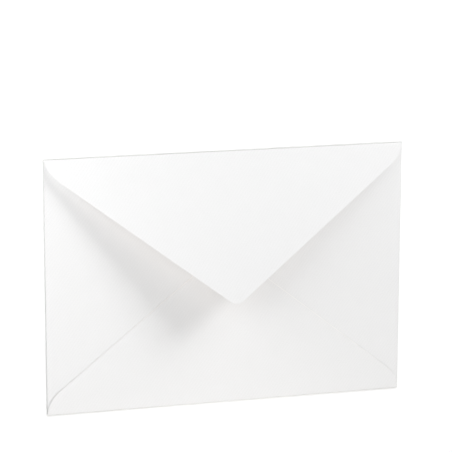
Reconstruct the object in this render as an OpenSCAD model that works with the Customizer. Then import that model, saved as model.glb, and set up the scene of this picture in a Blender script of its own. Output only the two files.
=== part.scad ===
// A paper envelope of C6 size: one sheet, cut with four pointed flaps and folded round an empty pocket.
// It lies on its front, with its flaps up and its top flap sprung a little open.
// Origin: under the middle of the envelope, on the surface it lies on. +Y points to the top fold, +Z up.
// All sizes are in millimetres, and all angles in degrees.

/* [Envelope] */
// Width of the envelope, over its two side folds
envelope_w = 162; // [120:1:240]
// Height of the envelope, over its bottom fold and its top fold
envelope_h = 114; // [90:1:180]

/* [Paper] */
// Thickness of the sheet
paper_t = 0.14; // [0.08:0.01:0.3]
// Height of the empty pocket, between the front and the side flaps
pocket_gap = 0.5; // [0.3:0.1:3]
// Gap that the nick in each corner of the front leaves between two folds
nick_clear = 0.15; // [0.05:0.05:2]

/* [Top flap] */
// Angle by which the top flap has sprung open from flat
top_lift = 15.3; // [5:0.1:60]
// How far the top flap reaches past the middle of the back
top_past_middle = 9.9; // [4:0.1:25]
// How far outside the corners its straight edges would meet the fold
top_overhang = 6.8; // [3:0.1:12]
// Radius of the shoulders between its edges and the fold
top_shoulder_r = 17; // [8:1:40]
// Radius of its tip
top_tip_r = 4.6; // [2:0.1:15]

/* [Bottom flap] */
// How far the bottom flap reaches past the middle of the back
bottom_past_middle = 12.2; // [4:0.1:20]
// How far outside the corners its straight edges would meet the fold
bottom_overhang = 8; // [3:0.1:12]
// Radius of the shoulders between its edges and the fold
bottom_shoulder_r = 13; // [8:1:40]
// Radius of its tip
bottom_tip_r = 6; // [2:0.5:15]

/* [Side flaps] */
// Gap between the tips of the two side flaps
side_tip_gap = 8; // [2:0.5:30]
// How far outside the corners their straight edges would meet the folds
side_overhang = 3.5; // [1:0.1:8]
// Radius of the shoulders between their edges and the folds
side_shoulder_r = 15; // [8:1:40]
// Radius of their tips
side_tip_r = 5; // [2:0.5:15]

/* [Hidden] */

// Straight steps in each arc: a rolled fold, a rounded shoulder or a rounded tip
ARC_STEPS = 16;

half_w = envelope_w / 2;
half_h = envelope_h / 2;

// Outer radius of a fold that wraps the pocket and this many layers of paper, the fold's own two included
function fold_r(layers) = (pocket_gap + layers * paper_t) / 2;

// The side flaps lie lowest, the bottom flap is glued on them, and the top flap closes over both
side_fold_r = fold_r(2);
bottom_fold_r = fold_r(3);
top_fold_r = fold_r(4);

// Nick in each corner of the front: each fold ends where it would meet the fold round the corner
nick_w = side_fold_r + nick_clear;
nick_h = top_fold_r + nick_clear;

// Depth of a flap's sharp corner, for a flap whose rounded tip is this deep and whose edges meet
// the fold this far from the middle
function sharp_depth(depth, base, tip_r) =
    let (tip_centre = depth - tip_r, k = tip_r / base, rest = 1 - k * k)
    (tip_centre + sqrt(pow(k * tip_centre, 2) + rest * tip_r * tip_r)) / rest;

// Points of an arc about a centre, from one angle to another
function arc(centre, r, from, to) =
    [for (i = [0:ARC_STEPS]) let (a = from + (to - from) * i / ARC_STEPS) centre + r * [cos(a), sin(a)]];

// Section of a sheet that turns round a fold, from the front below to the flap above, and runs on flat.
// The fold's axis is at the origin and the flap runs towards -x. The lift is what the turn lacks of half a turn.
function bent_sheet(outer_r, flat_length, lift) =
    let (
        inner_r = outer_r - paper_t,
        turned = 90 - lift,
        outwards = [cos(turned), sin(turned)],
        onwards = [-sin(turned), cos(turned)]
    )
    concat(
        arc([0, 0], outer_r, -90, turned),
        [for (r = [outer_r, inner_r]) r * outwards + flat_length * onwards],
        arc([0, 0], inner_r, turned, -90)
    );

// Outline of a flap, laid flat: x across it, y its depth from the outside of the fold.
// half is half the length of the fold, and start the depth at which the fold ends and the flat begins.
// base is where the straight edges would meet the fold, measured from its middle. The shoulders pass
// through the ends of the fold, and past them the outline is left wide enough to clear the fold.
function flap_outline(half, start, depth, base, shoulder_r, tip_r) =
    let (
        sharp = sharp_depth(depth, base, tip_r),
        slope = atan(sharp / base),
        along = [-cos(slope), sin(slope)],
        inward = [-sin(slope), -cos(slope)],
        from_base = [half - base, start],
        inset = from_base * inward,
        to_tangent = from_base * along + sqrt(inset * (2 * shoulder_r - inset)),
        shoulder_centre = [base, 0] + to_tangent * along + shoulder_r * inward,
        right = concat(
            [[shoulder_centre.x + shoulder_r, -start]],
            arc(shoulder_centre, shoulder_r, 0, 90 - slope),
            arc([0, sharp - tip_r / cos(slope)], tip_r, 90 - slope, 90)
        )
    )
    concat(right, [for (i = [len(right) - 2:-1:0]) [-right[i].x, right[i].y]]);

// A fold along X with its flap towards -Y: a strip of bent sheet as long as the fold, cut to the outline
module folded_flap(half, outer_r, depth, base, shoulder_r, tip_r, lift = 0) {
    outline = flap_outline(half, outer_r, depth, base, shoulder_r, tip_r);
    color("white")
        intersection() {
            rotate([90, 0, 90])
                linear_extrude(2 * half, center = true)
                    polygon(bent_sheet(outer_r, depth, lift));
            rotate([-lift, 0, 0])
                linear_extrude(4 * outer_r, center = true)
                    polygon([for (p = outline) [p.x, outer_r - p.y]]);
        }
}

// The front, flat between its four folds, with a nick in each corner
module front_panel() {
    color("white")
        linear_extrude(paper_t) {
            translate([nick_w - half_w, bottom_fold_r - half_h])
                square([envelope_w - 2 * nick_w, envelope_h - bottom_fold_r - top_fold_r]);
            translate([side_fold_r - half_w, nick_h - half_h])
                square([envelope_w - 2 * side_fold_r, envelope_h - 2 * nick_h]);
        }
}

module top_flap() {
    translate([0, half_h - top_fold_r, top_fold_r])
        folded_flap(
            half = half_w - nick_w,
            outer_r = top_fold_r,
            depth = half_h + top_past_middle,
            base = half_w + top_overhang,
            shoulder_r = top_shoulder_r,
            tip_r = top_tip_r,
            lift = top_lift
        );
}

module bottom_flap() {
    rotate([0, 0, 180])
        translate([0, half_h - bottom_fold_r, bottom_fold_r])
            folded_flap(
                half = half_w - nick_w,
                outer_r = bottom_fold_r,
                depth = half_h + bottom_past_middle,
                base = half_w + bottom_overhang,
                shoulder_r = bottom_shoulder_r,
                tip_r = bottom_tip_r
            );
}

module side_flaps() {
    for (turn = [-90, 90])
        rotate([0, 0, turn])
            translate([0, half_w - side_fold_r, side_fold_r])
                folded_flap(
                    half = half_h - nick_h,
                    outer_r = side_fold_r,
                    depth = half_w - side_tip_gap / 2,
                    base = half_h + side_overhang,
                    shoulder_r = side_shoulder_r,
                    tip_r = side_tip_r
                );
}

// The whole sheet in one piece, with the bottom flap glued down on the side flaps
module envelope() {
    front_panel();
    side_flaps();
    bottom_flap();
    top_flap();
}

envelope();
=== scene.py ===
"""A paper envelope, folded and glued from one die-cut sheet of ribbed paper, on a white studio floor."""

import math
from dataclasses import dataclass
from functools import partial

import bmesh
import bpy
import numpy as np
from mathutils import Euler, Matrix, Vector


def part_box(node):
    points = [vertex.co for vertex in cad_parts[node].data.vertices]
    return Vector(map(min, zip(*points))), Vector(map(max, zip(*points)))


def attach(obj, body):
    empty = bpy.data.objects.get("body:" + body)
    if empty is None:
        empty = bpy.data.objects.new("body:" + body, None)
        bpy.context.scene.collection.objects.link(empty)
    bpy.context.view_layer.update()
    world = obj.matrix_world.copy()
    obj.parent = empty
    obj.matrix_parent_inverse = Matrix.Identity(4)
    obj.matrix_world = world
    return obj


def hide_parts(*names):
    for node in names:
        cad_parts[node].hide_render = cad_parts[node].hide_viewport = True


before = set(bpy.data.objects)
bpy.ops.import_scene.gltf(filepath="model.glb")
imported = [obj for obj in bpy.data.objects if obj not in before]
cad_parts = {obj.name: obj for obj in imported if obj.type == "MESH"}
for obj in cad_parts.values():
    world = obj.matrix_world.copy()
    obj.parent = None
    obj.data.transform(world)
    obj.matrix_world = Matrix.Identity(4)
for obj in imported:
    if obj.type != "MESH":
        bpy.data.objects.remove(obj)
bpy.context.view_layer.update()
lowest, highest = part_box("envelope")

# Sizes are in millimetres where nothing else is said, and MM turns them to metres
MM = 0.001

# Sizes of the sheet, as the solid has them
PAPER_T = 0.14
POCKET_GAP = 0.5
NICK_CLEAR = 0.15
HALF_W = highest.x / MM
HALF_H = -lowest.y / MM

# How far two flaps reach past the middle of the back, and the gap between the tips of the side flaps
TOP_PAST_MIDDLE, BOTTOM_PAST_MIDDLE = 9.9, 12.2
SIDE_TIP_GAP = 8

# How far outside the corners the straight edges of the flaps would meet the folds
TOP_OVERHANG, BOTTOM_OVERHANG, SIDE_OVERHANG = 6.8, 8, 3.5

# How finely the sheet is divided: columns across a flap, length of a step along its straight edges, and
# steps in each arc
COLUMNS = 80
STEP = 1.8
ARC_STEPS = 12

# Points of the flat sheet that are closer than this are one
JOIN_GAP = 0.002

# The glued flap's cut edge is pressed thinner over a narrow band. Because the glue stops short of it, it
# also stands a hair off the paper beneath, over a wider band: all along on the right of the back, and on the
# left less and less, up to the depth at which it has settled. Next to its fold it is held down.
EDGE_PRESS, PRESSED_BAND = 0.05, 0.35
RIGHT_RAISE, LEFT_RAISE, RAISED_BAND = 0.15, 0.32, 2.5
LEFT_SETTLED, FOLD_HOLD = 50, 1.0

# Depths on the glued flap between which a painted highlight grows along its pressed edge, on the right and
# on the left of the back, and the share of the pressed band over which it thins out
HIGHLIGHT_RIGHT, HIGHLIGHT_LEFT = (0, 30), (25, 45)
HIGHLIGHT_FADE = 0.25

# Share of each fold's turn, at its two ends, that isn't marked as rolled
TURN_MARGIN = 0.02

# How far the cut edges are rounded, and the size of the corners in which they stay square
EDGE_ROUNDING, CORNER_KEPT = 0.3 * PAPER_T, 1.2

# Degrees between two faces from which their edge shows as sharp
SHARP_ANGLE = 35

# Material slots of the sheet's inside and its cut edges, after that of its outside
INSIDE_SLOT, CUT_SLOT = 1, 2


def fold_radius(layers):
    """Outer radius of a fold that wraps the pocket and this many layers of paper."""
    return (POCKET_GAP + layers * PAPER_T) / 2


SIDE_FOLD_R = fold_radius(2)
BOTTOM_FOLD_R = fold_radius(3)
TOP_FOLD_R = fold_radius(4)
NICK_W = SIDE_FOLD_R + NICK_CLEAR
NICK_H = TOP_FOLD_R + NICK_CLEAR


@dataclass
class Flap:
    """One pointed flap: where it lies, how its fold turns, and its outline as cut."""
    name: str
    turn: float            # degrees from +Y in which the flap points on the flat sheet
    edge: float            # from the middle of the sheet to the outside of the fold
    half: float            # half the length of the crease
    corner: float          # from the end of the crease to the end of the rolled fold, in the corner
    outer_r: float         # outer radius of the fold
    depth: float           # from the outside of the fold to the tip
    base: float            # from the middle of the fold to where a straight edge would meet it
    shoulder_r: float
    tip_r: float
    lift: float = 0.0      # degrees by which the fold has sprung open
    fold_painted_shade: float = 1.0  # how strongly painted shade greys the fold

    @property
    def middle_r(self):
        """Radius of the fold at the middle of the paper."""
        return self.outer_r - PAPER_T / 2

    @property
    def bend(self):
        """Angle of the fold's turn, in radians."""
        return math.radians(180 - self.lift)

    @property
    def turn_length(self):
        """Length of paper that the fold takes up."""
        return self.middle_r * self.bend

    @property
    def crease(self):
        """From the middle of the sheet to where the fold begins."""
        return self.edge - self.outer_r

    @property
    def sharp(self):
        """Depth at which the straight edges would meet, past the rounded tip."""
        k = self.tip_r / self.base
        tip_centre = self.depth - self.tip_r
        rest = 1 - k * k
        return (tip_centre + math.sqrt((k * tip_centre) ** 2 + rest * self.tip_r ** 2)) / rest

    @property
    def slope(self):
        """Angle between a straight edge and the fold, in radians."""
        return math.atan2(self.sharp, self.base)

    @property
    def reach(self):
        """Half the width of what turns with the flap, and a little more."""
        return self.half + self.corner + NICK_CLEAR / 4

    @property
    def on_sheet(self):
        """Matrix that turns rows of points from the top flap's direction to this flap's."""
        a = math.radians(self.turn)
        return np.array([[math.cos(a), math.sin(a)], [-math.sin(a), math.cos(a)]])


def side_flap(name, turn):
    """One of the two side flaps, which lie lowest."""
    return Flap(name, turn, edge=HALF_W, half=HALF_H - NICK_H, corner=0.1, outer_r=SIDE_FOLD_R,
                depth=HALF_W - SIDE_TIP_GAP / 2, base=HALF_H + SIDE_OVERHANG, shoulder_r=15, tip_r=5,
                fold_painted_shade=0.7)


TOP_FLAP = Flap("top", 0, edge=HALF_H, half=HALF_W - NICK_W, corner=NICK_W, outer_r=TOP_FOLD_R,
                depth=HALF_H + TOP_PAST_MIDDLE, base=HALF_W + TOP_OVERHANG, shoulder_r=17, tip_r=4.6,
                lift=15.3)
BOTTOM_FLAP = Flap("bottom", 180, edge=HALF_H, half=HALF_W - NICK_W, corner=NICK_W, outer_r=BOTTOM_FOLD_R,
                   depth=HALF_H + BOTTOM_PAST_MIDDLE, base=HALF_W + BOTTOM_OVERHANG, shoulder_r=13, tip_r=6)
LEFT_FLAP, RIGHT_FLAP = side_flap("left", 90), side_flap("right", -90)

# In the order in which they are folded
FLAPS = [LEFT_FLAP, RIGHT_FLAP, BOTTOM_FLAP, TOP_FLAP]

# Width of the outermost column of faces, as wide as the glued flap's pressed band is along the fold. It is
# the same on all flaps, so that their columns meet those of the front.
EDGE_COLUMN = PRESSED_BAND / math.sin(BOTTOM_FLAP.slope)


def arc(centre, radius, start, end):
    """Points of an arc about a centre, from one angle to another."""
    angles = np.linspace(start, end, ARC_STEPS + 1)
    return centre + radius * np.stack([np.cos(angles), np.sin(angles)], 1)


def cut_edge(flap):
    """The right-hand cut edge of a flap, from the end of its fold to its tip: (half width, depth) rows.
    The shoulder leaves the straight edge where the solid's does, and then runs right into the corner."""
    along = np.array([-math.cos(flap.slope), math.sin(flap.slope)])
    inward = np.array([-math.sin(flap.slope), -math.cos(flap.slope)])
    from_base = np.array([flap.half - flap.base, flap.outer_r])
    inset = from_base @ inward
    to_tangent = from_base @ along + math.sqrt(inset * (2 * flap.shoulder_r - inset))
    tangent = [flap.base, 0] + to_tangent * along
    to_fold_end = np.array([flap.half + flap.corner, flap.outer_r]) - tangent
    shoulder_r = to_fold_end @ to_fold_end / (2 * to_fold_end @ inward)
    first = math.atan2(*(to_fold_end - shoulder_r * inward)[::-1])
    square = math.pi / 2
    shoulder = arc(tangent + shoulder_r * inward, shoulder_r, first, square - flap.slope)
    tip_centre = np.array([0, flap.sharp - flap.tip_r / math.cos(flap.slope)])
    tip = arc(tip_centre, flap.tip_r, square - flap.slope, square)
    steps = round(np.linalg.norm(tip[0] - shoulder[-1]) / STEP)
    straight = np.linspace(shoulder[-1], tip[0], steps + 1)[1:-1]
    return np.concatenate([shoulder, straight, tip])


def across(half_width):
    """Places of the columns across this half width. The outer ones are narrow, a quarter of it at most."""
    narrow = min(EDGE_COLUMN, half_width / 4)
    inner = np.linspace(narrow - half_width, half_width - narrow, COLUMNS - 1)
    return np.concatenate([[-half_width], inner, [half_width]])


def edge_distance(points, edge):
    """Distance of each point from a cut edge, given as a line of points."""
    start, run = edge[:-1], np.diff(edge, axis=0)
    offset = points[:, None] - start
    share = np.clip((offset * run).sum(2) / (run ** 2).sum(1), 0, 1)
    return np.linalg.norm(offset - share[..., None] * run, axis=2).min(1)


def flap_rows(flap):
    """Rows of points of a flap on the flat sheet, from its crease to its tip."""
    rows = [(flap.half, 0)]
    rows += [(flap.half + flap.corner, flap.turn_length * i / ARC_STEPS) for i in range(1, ARC_STEPS)]
    rows += [(half_width, flap.turn_length + depth - flap.outer_r) for half_width, depth in cut_edge(flap)]
    placed = []
    for half_width, past in rows:
        xs = across(half_width)
        placed.append(np.stack([xs, np.full(len(xs), flap.crease + past)], 1) @ flap.on_sheet)
    return placed


def front_rows():
    """Rows of points of the front panel, whose corner cells are left out as nicks."""
    xs = np.concatenate([[SIDE_FOLD_R - HALF_W], across(HALF_W - NICK_W), [HALF_W - SIDE_FOLD_R]])
    ys = np.concatenate([[BOTTOM_FOLD_R - HALF_H], across(HALF_H - NICK_H), [HALF_H - TOP_FOLD_R]])
    return [np.stack([xs, np.full(len(xs), y)], 1) for y in ys]


def add_grid(points, faces, rows, without_corners=False):
    """Adds rows of points and the four-sided faces between them."""
    first = len(points)
    width = len(rows[0])
    for row in rows:
        points.extend((x * MM, y * MM, 0) for x, y in row)
    for i in range(len(rows) - 1):
        for j in range(width - 1):
            if without_corners and i in (0, len(rows) - 2) and j in (0, width - 2):
                continue
            a = first + i * width + j
            faces.append((a, a + 1, a + width + 1, a + width))


def flat_sheet():
    """The die-cut sheet, laid flat with its outer face down and the middle of its paper at height 0."""
    points, faces = [], []
    add_grid(points, faces, front_rows(), without_corners=True)
    for flap in FLAPS:
        add_grid(points, faces, flap_rows(flap))
    mesh = bpy.data.meshes.new("envelope_sheet")
    mesh.from_pydata(points, [], faces)
    merge_doubles(mesh)
    uv = mesh.uv_layers.new(name="flat_sheet")
    for loop in mesh.loops:
        uv.uv[loop.index].vector = mesh.vertices[loop.vertex_index].co.xy
    mark_painted_light_and_glued_edge(mesh)
    return mesh


def mark_painted_light_and_glued_edge(mesh):
    """Marks where the sheet is rolled into a fold, for the painted shade that greys it, and marks and shapes
    the glued flap's cut edge, with where a painted highlight lightens it.
    """
    place = np.array([v.co for v in mesh.vertices]) / MM
    rolled = np.zeros(len(place))
    for flap in FLAPS:
        turned = ((place[:, :2] @ flap.on_sheet.T)[:, 1] - flap.crease) / flap.turn_length
        # Painted shade: the turn of each fold is marked to be greyed
        rolled[(turned > TURN_MARGIN) & (turned < 1 - TURN_MARGIN)] = flap.fold_painted_shade
    glued = BOTTOM_FLAP
    x, y = (place[:, :2] @ glued.on_sheet.T).T
    depth = y - glued.crease - glued.turn_length + glued.outer_r
    away = edge_distance(np.stack([abs(x), depth], 1), cut_edge(glued))
    past_fold = np.clip((depth - glued.outer_r) / FOLD_HOLD, 0, 1)
    pressed = past_fold * np.clip(1 - away / PRESSED_BAND, 0, 1)
    edge_raise = np.where(x < 0, RIGHT_RAISE, np.interp(depth, (0, LEFT_SETTLED), (LEFT_RAISE, 0)))
    raised = edge_raise * past_fold * np.clip(1 - away / RAISED_BAND, 0, 1)
    # Painted highlight on the pressed edge, rising with depth from the corner on the right, and only from
    # deeper in on the left
    edge_highlight = np.where(x < 0, np.interp(depth, HIGHLIGHT_RIGHT, (0, 1)), np.interp(depth, HIGHLIGHT_LEFT, (0, 1)))
    place[:, 2] = EDGE_PRESS / 2 * pressed - raised
    mesh.vertices.foreach_set("co", (place * MM).ravel())
    for name, values in (("pressed", pressed), ("edge_highlight", edge_highlight), ("rolled", rolled)):
        mesh.attributes.new(name, "FLOAT", "POINT").data.foreach_set("value", values.astype(np.float32))


def merge_doubles(mesh):
    """Joins the panels along their creases, and each tip's last row into its point. The points of the
    nicks, which hold no face, are deleted."""
    bm = bmesh.new()
    bm.from_mesh(mesh)
    bmesh.ops.remove_doubles(bm, verts=bm.verts, dist=JOIN_GAP * MM)
    bmesh.ops.delete(bm, geom=[v for v in bm.verts if not v.link_faces], context="VERTS")
    bmesh.ops.recalc_face_normals(bm, faces=bm.faces)
    if sum(f.normal.z for f in bm.faces) > 0:
        bmesh.ops.reverse_faces(bm, faces=bm.faces)
    bm.to_mesh(mesh)
    bm.free()


def node(tree, kind, links=(), inputs=None, **settings):
    """Adds a node with its settings, its unlinked inputs, and its links as pairs of input and socket."""
    made = tree.nodes.new(kind)
    for key, value in settings.items():
        setattr(made, key, value)
    for key, value in (inputs or {}).items():
        made.inputs[key].default_value = value
    for key, socket in links:
        tree.links.new(socket, made.inputs[key])
    return made


def calculate(tree, operation, *values, **settings):
    """Adds a Math node. Each value is a number or an output socket, and its result is returned."""
    links = [(i, v) for i, v in enumerate(values) if not isinstance(v, (int, float))]
    numbers = {i: v for i, v in enumerate(values) if isinstance(v, (int, float))}
    return node(tree, "ShaderNodeMath", links, numbers, operation=operation, **settings).outputs[0]


def fold_tree():
    """Geometry nodes that roll what lies past a crease round a fold, and run it on straight. What lies past
    the ends of the crease stays, because it belongs to the next flap."""
    tree = bpy.data.node_groups.new("fold_along_crease", "GeometryNodeTree")
    interface = tree.interface
    interface.new_socket("Sheet", in_out="INPUT", socket_type="NodeSocketGeometry")
    for name in ("Turn", "Crease", "Reach", "Radius", "Bend"):
        interface.new_socket(name, in_out="INPUT", socket_type="NodeSocketFloat")
    interface.new_socket("Paper", in_out="INPUT", socket_type="NodeSocketMaterial")
    interface.new_socket("Sheet", in_out="OUTPUT", socket_type="NodeSocketGeometry")
    given = node(tree, "NodeGroupInput").outputs
    maths = partial(calculate, tree)

    def turned(vector, angle):
        return node(tree, "ShaderNodeVectorRotate", [("Vector", vector), ("Angle", angle)],
                    rotation_type="Z_AXIS").outputs[0]

    here = node(tree, "GeometryNodeInputPosition").outputs[0]
    turned_back = turned(here, maths("MULTIPLY", given["Turn"], -1.0))
    facing = node(tree, "ShaderNodeSeparateXYZ", [(0, turned_back)]).outputs
    past = maths("SUBTRACT", facing["Y"], given["Crease"])
    turn_length = maths("MULTIPLY", given["Radius"], given["Bend"])
    before = maths("MINIMUM", past, 0.0)
    rolled = maths("MAXIMUM", maths("MINIMUM", past, turn_length), 0.0)
    beyond = maths("MAXIMUM", maths("SUBTRACT", past, turn_length), 0.0)
    angle = maths("DIVIDE", rolled, given["Radius"])
    sine, cosine = maths("SINE", angle), maths("COSINE", angle)
    from_axis = maths("SUBTRACT", given["Radius"], facing["Z"])
    outwards = maths("ADD", maths("MULTIPLY", from_axis, sine), maths("MULTIPLY", beyond, cosine))
    y = maths("ADD", maths("ADD", given["Crease"], before), outwards)
    z = maths("ADD", maths("SUBTRACT", given["Radius"], maths("MULTIPLY", from_axis, cosine)),
              maths("MULTIPLY", beyond, sine))
    folded = node(tree, "ShaderNodeCombineXYZ", [("X", facing["X"]), ("Y", y), ("Z", z)]).outputs[0]
    within = maths("LESS_THAN", maths("ABSOLUTE", facing["X"]), given["Reach"])
    moved = node(tree, "GeometryNodeSetPosition",
                 [("Geometry", given["Sheet"]), ("Selection", within),
                  ("Position", turned(folded, given["Turn"]))])
    real = node(tree, "GeometryNodeRealizeInstances", [("Geometry", moved.outputs[0])])
    dressed = node(tree, "GeometryNodeSetMaterial",
                   [("Geometry", real.outputs[0]), ("Material", given["Paper"])])
    node(tree, "NodeGroupOutput", [("Sheet", dressed.outputs[0])])
    return tree


def fold(sheet, flap, tree, paper):
    """Folds one flap of the sheet up about its crease."""
    modifier = sheet.modifiers.new(f"fold_{flap.name}", "NODES")
    modifier.node_group = tree
    values = {
        "Turn": math.radians(flap.turn),
        "Crease": flap.crease * MM,
        "Reach": flap.reach * MM,
        "Radius": flap.middle_r * MM,
        "Bend": flap.bend,
        "Paper": paper,
    }
    for item in tree.interface.items_tree:
        if item.name in values:
            modifier[item.identifier] = values[item.name]


def thicken(sheet):
    """Gives the sheet the thickness of its paper, less where it is pressed."""
    whole = sheet.vertex_groups.new(name="whole_thickness")
    whole.add(range(len(sheet.data.vertices)), 1.0, "REPLACE")
    for index, pressed in enumerate(sheet.data.attributes["pressed"].data):
        if pressed.value > 0:
            whole.add([index], 1 - pressed.value * EDGE_PRESS / PAPER_T, "REPLACE")
    shell = sheet.modifiers.new("paper_thickness", "SOLIDIFY")
    shell.thickness = PAPER_T * MM
    shell.offset = 0
    shell.use_even_offset = True
    shell.vertex_group = whole.name
    shell.material_offset = INSIDE_SLOT
    shell.material_offset_rim = CUT_SLOT


def round_cut_edges(mesh):
    """Rounds the cut edges of the thick sheet, but not in the corners, where the ends of the folds meet."""
    bm = bmesh.new()
    bm.from_mesh(mesh)
    corner_x, corner_y = (HALF_W - CORNER_KEPT) * MM, (HALF_H - CORNER_KEPT) * MM

    def in_corner(vertex):
        return abs(vertex.co.x) > corner_x and abs(vertex.co.y) > corner_y

    def is_cut(edge):
        return [face.material_index for face in edge.link_faces].count(CUT_SLOT) == 1

    edges = [e for e in bm.edges if is_cut(e) and not any(in_corner(v) for v in e.verts)]
    bmesh.ops.bevel(bm, geom=edges, offset=EDGE_ROUNDING * MM, offset_type="OFFSET", segments=2,
                    profile=0.5, affect="EDGES", clamp_overlap=True, material=-1)
    bm.to_mesh(mesh)
    bm.free()


def applied(obj):
    """A plain mesh object of what the modifiers make of an object, which is then removed."""
    graph = bpy.context.evaluated_depsgraph_get()
    mesh = bpy.data.meshes.new_from_object(obj.evaluated_get(graph))
    name = obj.name
    bpy.data.objects.remove(obj)
    made = bpy.data.objects.new(name, mesh)
    bpy.context.scene.collection.objects.link(made)
    return made


def srgb(code):
    """Linear RGBA of an sRGB hex colour."""
    levels = [int(code[i:i + 2], 16) / 255 for i in (1, 3, 5)]
    return (*[c / 12.92 if c <= 0.04045 else ((c + 0.055) / 1.055) ** 2.4 for c in levels], 1.0)


def new_material(name):
    """A material with an empty node tree."""
    material = bpy.data.materials.new(name)
    material.use_nodes = True
    material.node_tree.nodes.clear()
    return material


# Size of the clumps of fibres, their relief, and how much painted shade darkens the hollows between them.
# The clumps are drawn coarser than real ones, which would be too fine to show.
FIBRE_SIZE, FIBRE_RELIEF, FIBRE_PAINTED_SHADE = 0.5, 0.006, 0.28

# Size of the clouds that show where the fibres lie closer
CLOUD_SIZE = 9

# Spacing of the ribs, and their direction in degrees on the flat sheet, seen from the inside. A folded flap
# is turned over, so on the back they lean the other way: from the lower left to the upper right.
RIB_PITCH = 1.235
RIB_ANGLE = -54.0

# How deep the ribs are, and how much painted shade darkens their furrows, on the outside and on the inside
# of the sheet
OUTSIDE_RIB_DEPTH, OUTSIDE_RIB_PAINTED_SHADE = 0.012, 0.06
INSIDE_RIB_DEPTH, INSIDE_RIB_PAINTED_SHADE = 0.003, 0.02

# Length after which a wave texture at scale 1 repeats
WAVE_LENGTH = 2 * math.pi / 20

PAPER_ROUGHNESS = 0.85


def felt_ribs(tree, flat):
    """Height of the ribs that the felt has left, from 0 in a furrow to 1 on a rib."""
    across_ribs = node(tree, "ShaderNodeMapping", [("Vector", flat)],
                       {"Rotation": (0, 0, math.radians(90 - RIB_ANGLE))}).outputs[0]
    return node(tree, "ShaderNodeTexWave", [("Vector", across_ribs)],
                {"Scale": WAVE_LENGTH / (RIB_PITCH * MM), "Distortion": 0.6, "Detail": 2.0,
                 "Detail Scale": 1.0},
                wave_type="BANDS", bands_direction="X", wave_profile="SIN").outputs["Fac"]


def paper_fibres(tree, flat):
    """Height of the matted fibres of the paper, from 0 to 1."""
    return node(tree, "ShaderNodeTexNoise", [("Vector", flat)],
                {"Scale": 1 / (FIBRE_SIZE * MM), "Detail": 4.0, "Roughness": 0.65}).outputs["Fac"]


def paper_relief(tree, ribs, fibres, rib_depth):
    """Normal of the ribs, this deep in millimetres, with the tooth of the fibres on them."""
    ribbed = node(tree, "ShaderNodeBump", [("Height", ribs)],
                  {"Strength": 1.0, "Distance": rib_depth * MM}).outputs[0]
    return node(tree, "ShaderNodeBump", [("Height", fibres), ("Normal", ribbed)],
                {"Strength": 1.0, "Distance": FIBRE_RELIEF * MM}).outputs[0]


def paper_tone_and_painted_shade(tree, flat, ribs, fibres, rib_painted_shade):
    """White of the paper, a trace uneven where the fibres lie closer, as held against the light. Furrows
    and the hollows between the fibres are darkened with painted shade, for the light that gets lost in them."""
    clouds = node(tree, "ShaderNodeTexNoise", [("Vector", flat)],
                  {"Scale": 1 / (CLOUD_SIZE * MM), "Detail": 3.0, "Roughness": 0.5}).outputs["Fac"]
    white = node(tree, "ShaderNodeMix", [("Factor", clouds)],
                 {"A": srgb("#F9F9F9"), "B": srgb("#FBFBFB")}, data_type="RGBA").outputs["Result"]
    # Painted shade in the furrows of the ribs and in the hollows between the fibres
    furrow_shade = calculate(tree, "MULTIPLY_ADD", ribs, -rib_painted_shade, rib_painted_shade)
    hollow = calculate(tree, "SUBTRACT", 1.0, fibres)
    shade = calculate(tree, "MULTIPLY_ADD", hollow, FIBRE_PAINTED_SHADE, furrow_shade)
    return node(tree, "ShaderNodeMix", [("Factor", shade), ("A", white)],
                {"B": srgb("#D8D8D8")}, data_type="RGBA").outputs["Result"]


def ribbed_paper():
    """Uncoated wood-free envelope paper, marked on the machine with fine ribs by a felt: matt, and softly
    toothed. Its faint diagonal lines come partly from raking light on the ribs and partly from painted shade
    in their furrows. Its folds are greyed with painted shade, and the pressed cut edge of the glued flap is
    lightened with a painted highlight where it catches the light."""
    material = new_material("ribbed_paper")
    tree = material.node_tree
    flat = node(tree, "ShaderNodeUVMap", uv_map="flat_sheet").outputs["UV"]
    ribs, fibres = felt_ribs(tree, flat), paper_fibres(tree, flat)
    rolled = node(tree, "ShaderNodeAttribute", attribute_name="rolled").outputs["Fac"]
    pressed = node(tree, "ShaderNodeAttribute", attribute_name="pressed").outputs["Fac"]
    edge_highlight = node(tree, "ShaderNodeAttribute", attribute_name="edge_highlight").outputs["Fac"]
    # Painted highlight: the pressed edge is lightened where it catches the light
    on_edge = calculate(tree, "DIVIDE", pressed, HIGHLIGHT_FADE, use_clamp=True)
    bare = calculate(tree, "MULTIPLY", on_edge, edge_highlight)
    plain = paper_tone_and_painted_shade(tree, flat, ribs, fibres, OUTSIDE_RIB_PAINTED_SHADE)
    # Painted shade greys the folds, where they turn away from the light
    fold_shaded = node(tree, "ShaderNodeMix", [("Factor", rolled), ("A", plain)],
                  {"B": srgb("#E6E6E5")}, data_type="RGBA").outputs["Result"]
    # The painted highlight, near white, on the pressed edge
    tint = node(tree, "ShaderNodeMix", [("Factor", bare), ("A", fold_shaded)],
                {"B": srgb("#FFFEFC")}, data_type="RGBA").outputs["Result"]
    relief = paper_relief(tree, ribs, fibres, OUTSIDE_RIB_DEPTH)
    shader = node(tree, "ShaderNodeBsdfPrincipled", [("Base Color", tint), ("Normal", relief)],
                  {"Roughness": PAPER_ROUGHNESS, "IOR": 1.5, "Specular IOR Level": 0.25})
    node(tree, "ShaderNodeOutputMaterial", [("Surface", shader.outputs[0])])
    return material


# Where the band of dried gum inside the top flap lies, in from the cut edge and along from the fold
GUM_FROM, GUM_TO = 1.5, 11.0
GUM_FOLD_GAP = 14.0

# How far the edge of the gum wanders, the size of its ripples and the width over which it thins out
GUM_WANDER, GUM_RIPPLE, GUM_SOFT = 0.8, 1.6, 0.5

GUM_ROUGHNESS = 0.4


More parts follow.
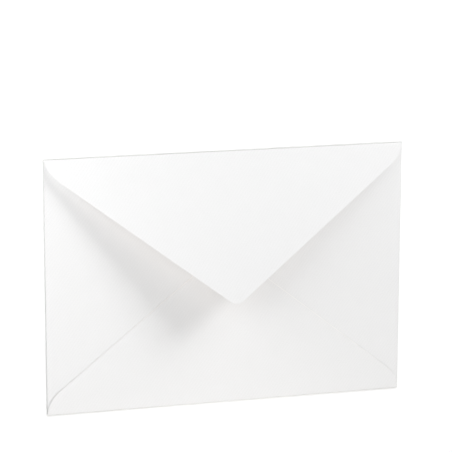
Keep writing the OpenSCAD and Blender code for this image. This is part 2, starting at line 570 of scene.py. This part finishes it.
def gummed_inside():
    """The wire side of the same paper, with hardly a rib. Along the top flap's edges it carries a band of
    dried gum, to be moistened: a trace yellower, and with a low gloss."""
    material = new_material("gummed_inside")
    tree = material.node_tree
    flat = node(tree, "ShaderNodeUVMap", uv_map="flat_sheet").outputs["UV"]
    ribs, fibres = felt_ribs(tree, flat), paper_fibres(tree, flat)
    maths = partial(calculate, tree)
    place = node(tree, "ShaderNodeSeparateXYZ", [(0, flat)]).outputs
    flap = TOP_FLAP
    ragged = node(tree, "ShaderNodeTexNoise", [("Vector", flat)],
                  {"Scale": 1 / (GUM_RIPPLE * MM), "Detail": 2.0, "Roughness": 0.5}).outputs["Fac"]
    wander = maths("MULTIPLY", maths("SUBTRACT", ragged, 0.5), GUM_WANDER * MM)
    past_fold = maths("SUBTRACT", place["Y"], flap.edge * MM)
    along = maths("SUBTRACT", flap.base * MM, maths("ABSOLUTE", place["X"]))
    from_edge = maths("SUBTRACT", maths("MULTIPLY", along, math.sin(flap.slope)),
                      maths("MULTIPLY", past_fold, math.cos(flap.slope)))
    inset = maths("ADD", from_edge, wander)

    def beyond(value, limit):
        over = maths("SUBTRACT", value, limit * MM)
        return maths("ADD", maths("DIVIDE", over, GUM_SOFT * MM), 0.5, use_clamp=True)

    band = maths("MULTIPLY", beyond(inset, GUM_FROM), maths("SUBTRACT", 1.0, beyond(inset, GUM_TO)))
    gum = maths("MULTIPLY", band, beyond(past_fold, GUM_FOLD_GAP))
    plain = paper_tone_and_painted_shade(tree, flat, ribs, fibres, INSIDE_RIB_PAINTED_SHADE)
    tint = node(tree, "ShaderNodeMix", [("Factor", gum), ("A", plain)],
                {"B": srgb("#EAD9CE")}, data_type="RGBA").outputs["Result"]
    roughness = node(tree, "ShaderNodeMapRange", [("Value", gum)],
                     {"To Min": PAPER_ROUGHNESS, "To Max": GUM_ROUGHNESS}).outputs[0]
    relief = paper_relief(tree, ribs, fibres, INSIDE_RIB_DEPTH)
    shader = node(tree, "ShaderNodeBsdfPrincipled",
                  [("Base Color", tint), ("Roughness", roughness), ("Normal", relief)],
                  {"IOR": 1.5, "Specular IOR Level": 0.25})
    node(tree, "ShaderNodeOutputMaterial", [("Surface", shader.outputs[0])])
    return material


# Size and relief of the cut fibres
CUT_FIBRE_SIZE, CUT_FIBRE_RELIEF = 0.12, 0.01


def cut_fibres():
    """The die-cut edge of the sheet: bare fibres without the felt's marks, whiter and quite matt."""
    material = new_material("cut_fibres")
    tree = material.node_tree
    place = node(tree, "ShaderNodeTexCoord").outputs["Object"]
    fibres = node(tree, "ShaderNodeTexNoise", [("Vector", place)],
                  {"Scale": 1 / (CUT_FIBRE_SIZE * MM), "Detail": 3.0, "Roughness": 0.7}).outputs["Fac"]
    tint = node(tree, "ShaderNodeMix", [("Factor", fibres)],
                {"A": srgb("#F3EDE4"), "B": srgb("#FAF6EF")}, data_type="RGBA").outputs["Result"]
    relief = node(tree, "ShaderNodeBump", [("Height", fibres)],
                  {"Strength": 1.0, "Distance": CUT_FIBRE_RELIEF * MM}).outputs[0]
    shader = node(tree, "ShaderNodeBsdfPrincipled", [("Base Color", tint), ("Normal", relief)],
                  {"Roughness": 0.95, "IOR": 1.5, "Specular IOR Level": 0.15})
    node(tree, "ShaderNodeOutputMaterial", [("Surface", shader.outputs[0])])
    return material


def envelope():
    """The whole sheet, folded, with its flaps glued down and its top flap sprung open."""
    tree = fold_tree()
    paper = ribbed_paper()
    mesh = flat_sheet()
    for material in (paper, gummed_inside(), cut_fibres()):
        mesh.materials.append(material)
    sheet = bpy.data.objects.new("folded_envelope", mesh)
    bpy.context.scene.collection.objects.link(sheet)
    for flap in FLAPS:
        fold(sheet, flap, tree, paper)
    thicken(sheet)
    piece = applied(sheet)
    round_cut_edges(piece.data)
    piece.data.transform(Matrix.Translation((0, 0, PAPER_T / 2 * MM)))
    piece.data.shade_smooth()
    piece.data.set_sharp_from_angle(angle=math.radians(SHARP_ANGLE))
    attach(piece, "root")
    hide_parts("envelope")


# Metres of floor, and how far from the middle of the envelope its glow begins to rise and is full white
FLOOR_SIZE = 8.0
GLOW_RISES, GLOW_FULL = 0.16, 0.36

# Strength of the glow next to the envelope, where the lamps make up the rest
GLOW_NEAR = 0.15


def studio_floor():
    """A seamless white floor. The camera sees it lifted to white, as by lamps on a backdrop, with the
    envelope's shadow kept."""
    half = FLOOR_SIZE / 2
    corners = [(-half, -half, 0), (half, -half, 0), (half, half, 0), (-half, half, 0)]
    mesh = bpy.data.meshes.new("studio_floor")
    mesh.from_pydata(corners, [], [(0, 1, 2, 3)])
    floor = bpy.data.objects.new("studio_floor", mesh)
    bpy.context.scene.collection.objects.link(floor)
    material = new_material("seamless_white")
    tree = material.node_tree
    seen = node(tree, "ShaderNodeLightPath").outputs
    clear = calculate(tree, "MAXIMUM", seen["Is Glossy Ray"], seen["Is Transmission Ray"])
    direct = calculate(tree, "MAXIMUM", seen["Is Camera Ray"], clear)
    matt = node(tree, "ShaderNodeBsdfDiffuse", inputs={"Color": srgb("#D9D9D9")})
    white = node(tree, "ShaderNodeBsdfDiffuse", inputs={"Color": srgb("#FFFFFF")})
    place = node(tree, "ShaderNodeNewGeometry").outputs["Position"]
    far = node(tree, "ShaderNodeVectorMath", [(0, place)], operation="LENGTH").outputs["Value"]
    backdrop = node(tree, "ShaderNodeMapRange", [("Value", far)],
                    {"From Min": GLOW_RISES, "From Max": GLOW_FULL, "To Min": GLOW_NEAR,
                     "To Max": 1.0}).outputs[0]
    glow = node(tree, "ShaderNodeEmission", [("Strength", backdrop)], {"Color": srgb("#FFFFFF")})
    lifted = node(tree, "ShaderNodeAddShader", [(0, white.outputs[0]), (1, glow.outputs[0])])
    mixed = node(tree, "ShaderNodeMixShader",
                 [("Fac", direct), (1, matt.outputs[0]), (2, lifted.outputs[0])])
    node(tree, "ShaderNodeOutputMaterial", [("Surface", mixed.outputs[0])])
    mesh.materials.append(material)


@dataclass
class Softbox:
    """A square lamp, turned towards the middle of the envelope."""
    name: str
    turn: float        # degrees from +X towards +Y
    height: float      # degrees above the floor
    distance: float    # metres
    size: float        # metres
    light: float       # share of a full light on a surface that faces it
    tint: str = "#FFFFFF"

    @property
    def power(self):
        """Watts that give this share of light at the middle of the envelope."""
        return 4 * math.pi * self.distance ** 2 * self.light

    @property
    def outwards(self):
        """Unit vector from the middle of the envelope to the lamp."""
        turn, height = math.radians(self.turn), math.radians(self.height)
        level = math.cos(height)
        return Vector((math.cos(turn) * level, math.sin(turn) * level, math.sin(height)))


SOFTBOXES = [
    Softbox("key_light", turn=40, height=29, distance=1.3, size=0.36, light=0.267),
    Softbox("right_light", turn=51, height=25, distance=0.354, size=0.15, light=0.197),
    Softbox("left_light", turn=150, height=32, distance=0.30, size=0.20, light=0.332),
    Softbox("overhead_light", turn=270, height=65, distance=1.3, size=0.6, light=0.432),
    Softbox("low_light", turn=270, height=14, distance=0.206, size=0.09, light=0.188, tint="#FFF9F2"),
]


def studio_light():
    """Softboxes round the envelope, and a white surround that gives no light."""
    for box in SOFTBOXES:
        data = bpy.data.lights.new(box.name, "AREA")
        data.energy = box.power
        data.size = box.size
        data.color = srgb(box.tint)[:3]
        light = bpy.data.objects.new(box.name, data)
        light.location = box.outwards * box.distance
        light.rotation_euler = box.outwards.to_track_quat("Z", "Y").to_euler()
        light.visible_camera = False
        bpy.context.scene.collection.objects.link(light)
    world = bpy.data.worlds.new("studio_surround")
    world.use_nodes = True
    bpy.context.scene.world = world
    tree = world.node_tree
    tree.nodes.clear()
    seen = node(tree, "ShaderNodeLightPath").outputs
    shade = node(tree, "ShaderNodeBackground", [("Strength", seen["Is Camera Ray"])],
                 {"Color": srgb("#FFFFFF")})
    node(tree, "ShaderNodeOutputWorld", [("Surface", shade.outputs[0])])


# The point of the floor that the camera looks at, and its distance from there
CAMERA_AIM, CAMERA_DISTANCE = (0.04, 23.19, 0.0), 948.9

# Degrees that the camera is tilted from straight above towards the top fold, is swung to the left, and is
# rolled about its own axis
CAMERA_TILT, CAMERA_SWING, CAMERA_ROLL = 12.95, 15.59, 0.15

# Focal length of the camera and width of its sensor
CAMERA_LENS, CAMERA_SENSOR = 172.38, 36


def studio_camera():
    """A long lens above the envelope and a little to its upper left."""
    data = bpy.data.cameras.new("studio_camera")
    data.lens = CAMERA_LENS
    data.sensor_width = CAMERA_SENSOR
    camera = bpy.data.objects.new("studio_camera", data)
    aim = Matrix.Translation(Vector(CAMERA_AIM) * MM)
    angles = [math.radians(a) for a in (-CAMERA_TILT, -CAMERA_SWING, CAMERA_ROLL)]
    turn = Euler(angles, "ZXY").to_matrix().to_4x4()
    camera.matrix_world = aim @ turn @ Matrix.Translation((0, 0, CAMERA_DISTANCE * MM))
    bpy.context.scene.collection.objects.link(camera)
    bpy.context.scene.camera = camera


envelope()
studio_floor()
studio_light()
studio_camera()
bpy.context.scene.view_settings.view_transform = "Standard"
